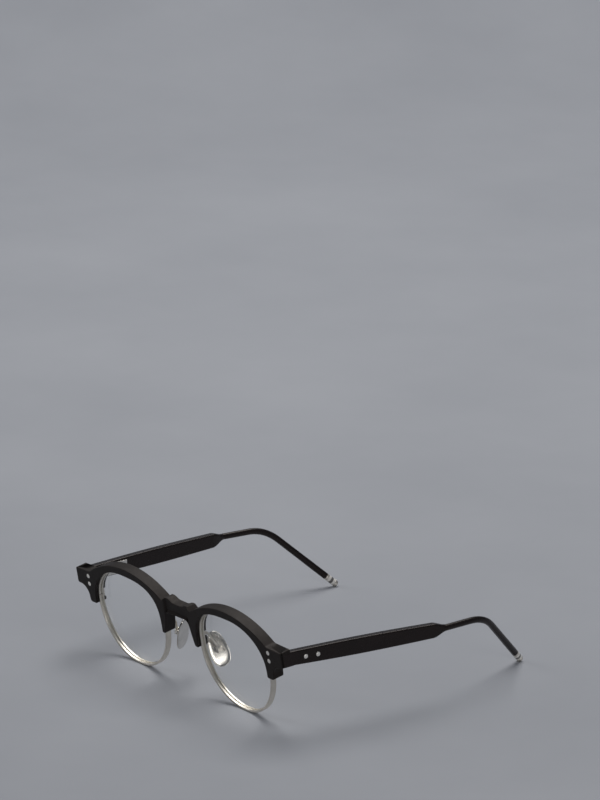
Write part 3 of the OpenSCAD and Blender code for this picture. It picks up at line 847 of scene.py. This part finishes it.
KNUCKLE_STEP = KNUCKLE_H + KNUCKLE_GAP
HINGE_HIGH = HINGE_LOW + 3 * KNUCKLE_H + 2 * KNUCKLE_GAP
LEAF_EDGE = 0.14
FRONT_LEAF_SIZE = (3.8, 6.1)
FRONT_LEAF_MID = (62.6, 33.45)
FRONT_TAB_WIDE = 2.6
FRONT_TAB_X = 64.8
FRONT_TAB_Z = (31.1, 34.1)
TEMPLE_LEAF_SIZE = (15.6, 5.2)
TEMPLE_LEAF_MID = 10.8


def front_hinge_shape():
    """The leaf on the end piece's back, its two tabs, and the outer two knuckles with their arms."""
    back = BROW_DEPTH + LEAF / 2
    wide, high = FRONT_LEAF_SIZE
    shape = block((wide, LEAF, high), LEAF_EDGE, (FRONT_LEAF_MID[0], back, FRONT_LEAF_MID[1]))
    for z in FRONT_TAB_Z:
        shape.add(block((FRONT_TAB_WIDE, LEAF, KNUCKLE_H - 0.1), 0.1, (FRONT_TAB_X, back, z)))
    shape.move(LEAN)
    for k in (0, 2):
        low = HINGE_LOW + k * KNUCKLE_STEP
        shape.add(bushing(HINGE_SCREW_R + 0.01, KNUCKLE_R, low, low + KNUCKLE_H).move(HINGE))
        arm = block((KNUCKLE_R - 0.2, 1.5, KNUCKLE_H - 0.1), 0.08, (-0.75, -0.7, low + KNUCKLE_H / 2))
        shape.add(arm.move(HINGE))
    return shape


def hinge_screw_shape():
    shape = lathe(edged(HINGE_SCREW_R, HINGE_LOW - 0.02, HINGE_HIGH, 0.06), 28)
    return shape.add(screw_head(1.05, HINGE_HIGH, 0.45)).move(HINGE)


def temple_hinge_shape():
    """The leaf on the temple's inner face, and the middle knuckle with its arm."""
    inner = -TEMPLE_THICK - LEAF / 2
    shape = block((LEAF, *TEMPLE_LEAF_SIZE), LEAF_EDGE, (inner, TEMPLE_LEAF_MID, 0)).move(TEMPLE)
    low = HINGE_LOW + KNUCKLE_STEP
    knuckle = bushing(HINGE_SCREW_R + 0.05, KNUCKLE_R, low, low + KNUCKLE_H)
    knuckle.add(block((1.3, 1.7, KNUCKLE_H - 0.06), 0.08, (0.8, 1.72, low + KNUCKLE_H / 2)))
    return shape.add(knuckle.move(HINGE))


def rivet_shape(length):
    """A rivet along +z: a low domed head that stands proud of z = 0, with a fine step round it.
    Its other end stands a little proud of the hinge leaf, where the CAD one ends flush."""
    top = -RIVET_PROUD
    profile = [(0.1, top - 0.02), (0.35, top - 0.018), (0.55, top - 0.01), (0.68, top + 0.005),
               (0.74, top + 0.02), (0.78, top + 0.05), (0.86, top + 0.05), (0.95, top + 0.07),
               (RIVET_R, 0.02), (RIVET_R, 0.4), (0.7, 0.45), (0.7, length + 0.04), (0.64, length + 0.09),
               (0.3, length + 0.1), (0.1, length + 0.1)]
    shape = Shape()
    shape.solid([circle(r, z, 36) for r, z in profile])
    return shape


def front_rivets_shape():
    shape = Shape()
    for z in RIVET_Z:
        place = Matrix.Translation((RIVET_X, 0, z)) @ Matrix.Rotation(math.radians(-90), 4, "X")
        shape.add(rivet_shape(BROW_DEPTH + LEAF).move(LEAN @ place))
    return shape


def temple_rivets_shape():
    shape = Shape()
    for y in RIVET_Y:
        place = Matrix.Translation((0, y, 0)) @ Matrix.Rotation(math.radians(-90), 4, "Y")
        shape.add(rivet_shape(TEMPLE_THICK + LEAF).move(TEMPLE @ place))
    return shape


# ---------- temples and tips ----------

NECK = Vector((77.2, 78.3 - MID_Y, 31.2))
BEND = Vector((75.7, 100.6 - MID_Y, 30.6))
BEND_RUN = 8.8
CORNER_STEPS = 8
FLAT_STEPS = 30
TAPER_STEPS = 24
BEND_STEPS = 28
STRAIGHT_STEPS = 6
LAST_STEPS = 4
END_STEPS = 8
END_EDGE = 0.16


def ease(u):
    return (1 - math.cos(math.pi * u)) / 2


def temple_stations():
    """Middle, width, height and corner radius of each section, from the front to the rod's end."""
    front = TEMPLE @ Vector((-TEMPLE_THICK / 2, -TEMPLE_REACH, 0))
    front.x += TEMPLE_REACH * math.sin(SPLAY)
    out = [(front, TEMPLE_THICK, TEMPLE_HEIGHT, FLAT_ROUND)]
    for i in range(FLAT_STEPS + 1):
        u = i / FLAT_STEPS
        middle = TEMPLE @ Vector((-TEMPLE_THICK / 2, SPLAY_FROM + (FLAT_LEN - SPLAY_FROM) * u, 0))
        high = TEMPLE_HEIGHT + TEMPLE_BELLY * math.sin(math.pi * u)
        out.append((middle, TEMPLE_THICK, high, FLAT_ROUND))
    flat_end = out[-1][0]
    for i in range(1, TAPER_STEPS + 1):
        e = ease(i / TAPER_STEPS)
        out.append((flat_end.lerp(NECK, i / TAPER_STEPS),
                    TEMPLE_THICK + (2 * NECK_R - TEMPLE_THICK) * e,
                    TEMPLE_HEIGHT + (2 * NECK_R - TEMPLE_HEIGHT) * e,
                    FLAT_ROUND + (NECK_R - FLAT_ROUND) * e))
    bend_in = BEND + BEND_RUN * (NECK - BEND).normalized()
    bend_out = BEND + BEND_RUN * END_DIR
    last_taper = ROD_END - (END_LEN - 0.4) * END_DIR
    path = [NECK.lerp(bend_in, i / STRAIGHT_STEPS) for i in range(1, STRAIGHT_STEPS + 1)]
    for i in range(1, BEND_STEPS + 1):
        t = i / BEND_STEPS
        path.append((1 - t) ** 2 * bend_in + 2 * t * (1 - t) * BEND + t * t * bend_out)
    path += [bend_out.lerp(last_taper, i / LAST_STEPS) for i in range(1, LAST_STEPS + 1)]
    for p in path:
        r = NECK_R + (TIP_R - 0.03 - NECK_R) * (p.y - NECK.y) / (last_taper.y - NECK.y)
        out.append((p, 2 * r, 2 * r, r))
    for i in range(1, END_STEPS + 1):
        out.append((last_taper.lerp(ROD_END, i / END_STEPS), 2 * TIP_R, 2 * TIP_R, TIP_R))
    return out


def section(station, t):
    """A section's ring: a rectangle with round corners, or a circle on the rod."""
    middle, wide, high, r = station
    u = t.cross(Vector((0, 0, 1))).normalized()
    v = u.cross(t)
    ring = []
    for quadrant in range(4):
        for k in range(CORNER_STEPS):
            a = math.pi / 2 * (quadrant + (k + 0.5) / CORNER_STEPS)
            c, s = math.cos(a), math.sin(a)
            x = math.copysign(wide / 2 - r, c) + r * c
            z = math.copysign(high / 2 - r, s) + r * s
            ring.append(middle + x * u + z * v)
    return ring


def temple_shape():
    stations = temple_stations()
    path = [s[0] for s in stations]
    rings = []
    for i, station in enumerate(stations):
        t = (path[min(i + 1, len(path) - 1)] - path[max(i - 1, 0)]).normalized()
        rings.append(section(station, t))
    # The front end stops at the mitre, and its lower edge drops to the end piece's
    line = (mitre_point(1) - mitre_point(0)).normalized()
    normal = (LEAN.to_3x3() @ Vector((line.y, -line.x, 0))).normalized()
    start = mitre_point(0)
    plane = LEAN @ Vector((start.x, start.y, 0)) + MITRE_GAP * normal
    along = (path[1] - path[0]).normalized()
    fade = SPLAY_FROM - MID_Y
    sides = len(rings[0])

    def to_mitre(ring, behind):
        return [p + along * (((plane - p).dot(normal) + behind) / along.dot(normal)) for p in ring]

    def with_heel(ring):
        drop = [TEMPLE_HEEL * max(0.0, fade - p.y) / (TEMPLE_REACH + SPLAY_FROM) for p in ring]
        return [p - Vector((0, 0, drop[i] if i >= sides // 2 else 0)) for i, p in enumerate(ring)]

    full = rings.pop(0)
    while min((p - plane).dot(normal) for p in rings[0]) < 2 * END_EDGE:
        del rings[0]
    middle = sum(full, Vector()) / sides
    ends = []
    for shrink, depth in quarter(END_EDGE, SMALL_STEPS):
        smaller = [p + (middle - p).normalized() * shrink for p in full]
        ends.append(to_mitre(with_heel(to_mitre(smaller, depth)), depth))
    shape = Shape()
    shape.solid(ends + rings)
    return shape


def tip_ring_shape(from_back, length):
    return bushing(0.6, TIP_R, 0, length, 0.07).move(at_tip(from_back))


def tip_cap_shape():
    turns = [math.pi / 2 * i / 8 for i in range(9)]
    low = [(TIP_R - 0.07, 0), (TIP_R, 0.07)]
    top = [(TIP_R - CAP_EDGE + CAP_EDGE * math.cos(a), CAP_LEN - CAP_EDGE + CAP_EDGE * math.sin(a))
           for a in turns]
    return lathe(low + top).move(at_tip(CAP_LEN))


# ---------- the pieces ----------

def cut_out(obj, cutters):
    """Cuts shapes and their mirror images out of a piece, and keeps the result as its mesh."""
    obj.modifiers.clear()
    made = []
    for i, shape in enumerate(cutters):
        for side in (1, -1):
            mesh = bpy.data.meshes.new(f"cutter_{i}_{side}")
            verts = [(side * v.x * MM, v.y * MM, v.z * MM) for v in shape.verts]
            faces = shape.faces if side > 0 else [tuple(reversed(f)) for f in shape.faces]
            mesh.from_pydata(verts, [], faces)
            cutter = bpy.data.objects.new(mesh.name, mesh)
            bpy.context.scene.collection.objects.link(cutter)
            cut = obj.modifiers.new(mesh.name, "BOOLEAN")
            cut.operation = "DIFFERENCE"
            cut.object = cutter
            cut.solver = "EXACT"
            made.append(cutter)
    bpy.context.view_layer.update()
    evaluated = obj.evaluated_get(bpy.context.evaluated_depsgraph_get())
    mesh = bpy.data.meshes.new_from_object(evaluated)
    obj.modifiers.clear()
    obj.data = mesh
    for cutter in made:
        bpy.data.objects.remove(cutter)


brow = piece("brow_front_look", brow_shape().move(LEAN), "front", ACETATE_FRONT,
             ["brow_front"])
cut_out(brow, [cutter.move(LEAN) for cutter in notch_shapes()])
brow.data.set_sharp_from_angle(angle=SHARP_ANGLE)
even_normals(brow)

pair("rim", rim_shape().move(LEAN), "front", RIM_METAL)
pair("lens", lens_shape().move(LEAN), "front", LENS_GLASS)
pair("pad_arm", pad_arm_shape(), "front", RIM_METAL)
pair("pad_screw", pad_screw_shape(), "front", SCREW_METAL)
pair("front_hinge", front_hinge_shape(), "front", HINGE_METAL)
pair("hinge_screw", hinge_screw_shape(), "front", SCREW_METAL)
pair("front_rivets", front_rivets_shape(), "front", RIVET_METAL)
pair("nose_pad", pad_shape().add(pad_lug()).move(PAD), "pad_SIDE", PAD_METAL)
pair("temple", temple_shape(), "temple_SIDE", ACETATE_TEMPLE)
pair("temple_hinge", temple_hinge_shape(), "temple_SIDE", HINGE_METAL)
pair("temple_rivets", temple_rivets_shape(), "temple_SIDE", RIVET_METAL)
first_ring = STACK_LEN - COLLAR_LEN
rings = tip_ring_shape(first_ring, RING_LEN).add(tip_ring_shape(first_ring - 2 * RING_LEN, RING_LEN))
pair("tip_collar", tip_ring_shape(STACK_LEN, COLLAR_LEN), "temple_SIDE", RIM_METAL)
pair("tip_rings", rings, "temple_SIDE", TIP_LIGHT)
pair("tip_band", tip_ring_shape(first_ring - RING_LEN, RING_LEN), "temple_SIDE", TIP_DARK)
pair("tip_cap", tip_cap_shape(), "temple_SIDE", RIM_METAL)

# Pieces whose CAD shape is right keep it, and get a better material
for node, material in (("rim_lock", RIM_METAL), ("rim_lock_screw", SCREW_METAL),
                       ("temple_core", CORE_METAL)):
    for side in ("left", "right"):
        kept = frame["nodes"][f"{node}_{side}"]
        kept.data.materials.clear()
        kept.data.materials.append(material)


# ---------- stage, light and camera ----------

CAMERA_AZIMUTH = math.radians(51.41)
CAMERA_UP = math.radians(19.41)
CAMERA_FAR = 2.07489
CAMERA_LENS = 215.72
# How far the camera looks past the middle of the object, to the side and up, for each metre away
CAMERA_AIM = (0.00029, 0.04459)


def floor_material():
    mat, tree, shader = new_material("floor_paper")
    tone = noise(tree, 7, 4, 0.55)
    colour = ramp(tree, tone, [(0.3, (0.36, 0.375, 0.41)), (0.7, (0.4, 0.415, 0.45))])
    tree.links.new(colour, shader.inputs["Base Color"])
    shader.inputs["Roughness"].default_value = 0.75
    bump(tree, shader, noise(tree, 900, 3, 0.6), 2e-5)
    return mat


def make_floor():
    """A floor that curves up into a backdrop far behind the object."""
    r = 0.9
    profile = [(-3.0, 0.0), (r, 0.0)]
    for i in range(1, 19):
        a = math.radians(5 * i)
        profile.append((r + r * math.sin(a), r - r * math.cos(a)))
    profile.append((2 * r, 3.0))
    turn = Matrix.Rotation(CAMERA_AZIMUTH, 4, "Z")
    verts, faces = [], []
    for y, z in profile:
        verts += [turn @ Vector((-4, y, z)), turn @ Vector((4, y, z))]
    for i in range(len(profile) - 1):
        faces.append((2 * i, 2 * i + 1, 2 * i + 3, 2 * i + 2))
    mesh = bpy.data.meshes.new("floor")
    mesh.from_pydata(verts, [], faces)
    mesh.shade_smooth()
    floor = bpy.data.objects.new("floor", mesh)
    bpy.context.scene.collection.objects.link(floor)
    floor.data.materials.append(floor_material())


def area_light(name, place, aim, size, power, colour):
    data = bpy.data.lights.new(name, "AREA")
    data.shape = "RECTANGLE"
    data.size = size[0]
    data.size_y = size[1]
    data.energy = power
    data.color = colour
    lamp = bpy.data.objects.new(name, data)
    lamp.location = place
    lamp.rotation_euler = (Vector(aim) - Vector(place)).to_track_quat("-Z", "Y").to_euler()
    bpy.context.scene.collection.objects.link(lamp)


def make_camera():
    """A long lens 2.07 m away, at azimuth 51.4 degrees and 19.4 degrees up. It looks a little
    above the glasses, so that they stand in the lower part of the frame."""
    az, el = CAMERA_AZIMUTH, CAMERA_UP
    back = Vector((math.cos(el) * math.sin(az), -math.cos(el) * math.cos(az), math.sin(el)))
    side = Vector((math.cos(az), math.sin(az), 0))
    up = back.cross(side)
    look = -back + CAMERA_AIM[0] * side + CAMERA_AIM[1] * up
    data = bpy.data.cameras.new("camera")
    data.lens = CAMERA_LENS
    data.sensor_width = 36
    data.clip_start = 0.05
    data.clip_end = 50
    camera = bpy.data.objects.new("camera", data)
    z_axis = -look.normalized()
    x_axis = up.cross(z_axis).normalized()
    y_axis = z_axis.cross(x_axis)
    turn = Matrix((x_axis, y_axis, z_axis)).transposed().to_4x4()
    target = Vector((0, 60 - MID_Y, 20)) * MM
    camera.matrix_world = Matrix.Translation(target + CAMERA_FAR * back) @ turn
    bpy.context.scene.collection.objects.link(camera)
    bpy.context.scene.camera = camera


make_floor()
area_light("overhead", (-0.5, 0.55, 1.5), (0, 0, 0), (1.2, 1.2), 17, (1, 0.985, 0.96))
area_light("front_left", (-1.3, -1.1, 0.8), (0, 0, 0.02), (0.7, 0.9), 5, (1, 0.99, 0.97))
area_light("right", (1.4, -0.2, 0.34), (0, 0, 0.03), (0.5, 0.5), 3, (1, 0.98, 0.95))
world = bpy.data.worlds.new("studio")
world.use_nodes = True
world.node_tree.nodes["Background"].inputs["Color"].default_value = (0.3, 0.315, 0.35, 1)
world.node_tree.nodes["Background"].inputs["Strength"].default_value = 0.55
bpy.context.scene.world = world
bpy.context.scene.view_settings.view_transform = "Standard"
make_camera()
